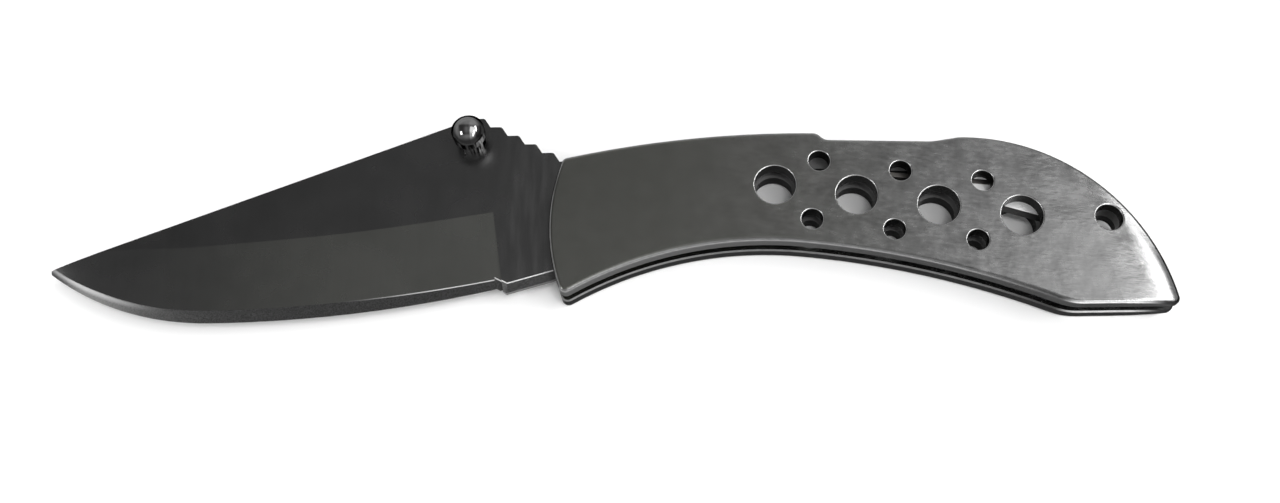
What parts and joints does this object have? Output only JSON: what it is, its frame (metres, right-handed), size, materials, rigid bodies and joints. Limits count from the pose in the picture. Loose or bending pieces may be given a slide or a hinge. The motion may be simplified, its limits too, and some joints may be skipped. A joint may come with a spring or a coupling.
{
  "type": "folding pocket knife",
  "caption": "Open lockback folding knife: drilled steel handle scales, drop-point blade with a stepped thumb ramp and stud, and a rocking lock bar under a spine notch.",
  "frame": {"origin": "middle of the open knife's outline, on the rear scale's outer face that it lies on", "axes": "+X towards the butt, +Y towards the spine, +Z from the rear scale to the front scale"},
  "size_m": [0.192, 0.0372, 0.0116],
  "materials": {
    "scale_steel": "fine lengthwise brushing",
    "blade_steel": "satin ground",
    "inner_steel": "satin",
    "pin_steel": "ground flush",
    "stud_chrome": "polished",
    "washer_bronze": "plain"
  },
  "bodies": {
    "handle": {"front_scale": "scale_steel", "rear_scale": "scale_steel", "butt_spacer": "inner_steel", "lock_spring": "inner_steel", "pivot_pin": "pin_steel", "rocker_pin": "pin_steel", "front_washer": "washer_bronze", "rear_washer": "washer_bronze", "front_rivet": "pin_steel", "middle_rivet": "pin_steel", "rear_rivet": "pin_steel"},
    "lock_bar": {"lock_bar": "inner_steel"},
    "blade": {"blade": "blade_steel", "thumb_stud": "stud_chrome", "stud_screw": "inner_steel"}
  },
  "joints": [
    {"name": "blade_fold", "type": "hinge", "parent": "handle", "child": "blade", "pos_m": [-0.00135, -0.00203, 0.00415], "axis": [0, 0, 1], "range_deg": [0, 167.5]},
    {"name": "lock_press", "type": "hinge", "parent": "handle", "child": "lock_bar", "pos_m": [0.02315, 0.00977, 0.00415], "axis": [0, 0, 1], "range_deg": [0, 2.6], "stiffness_Nm_per_rad": 0.2, "springref_deg": 6.88, "deforming": ["lock_spring"]}
  ]
}
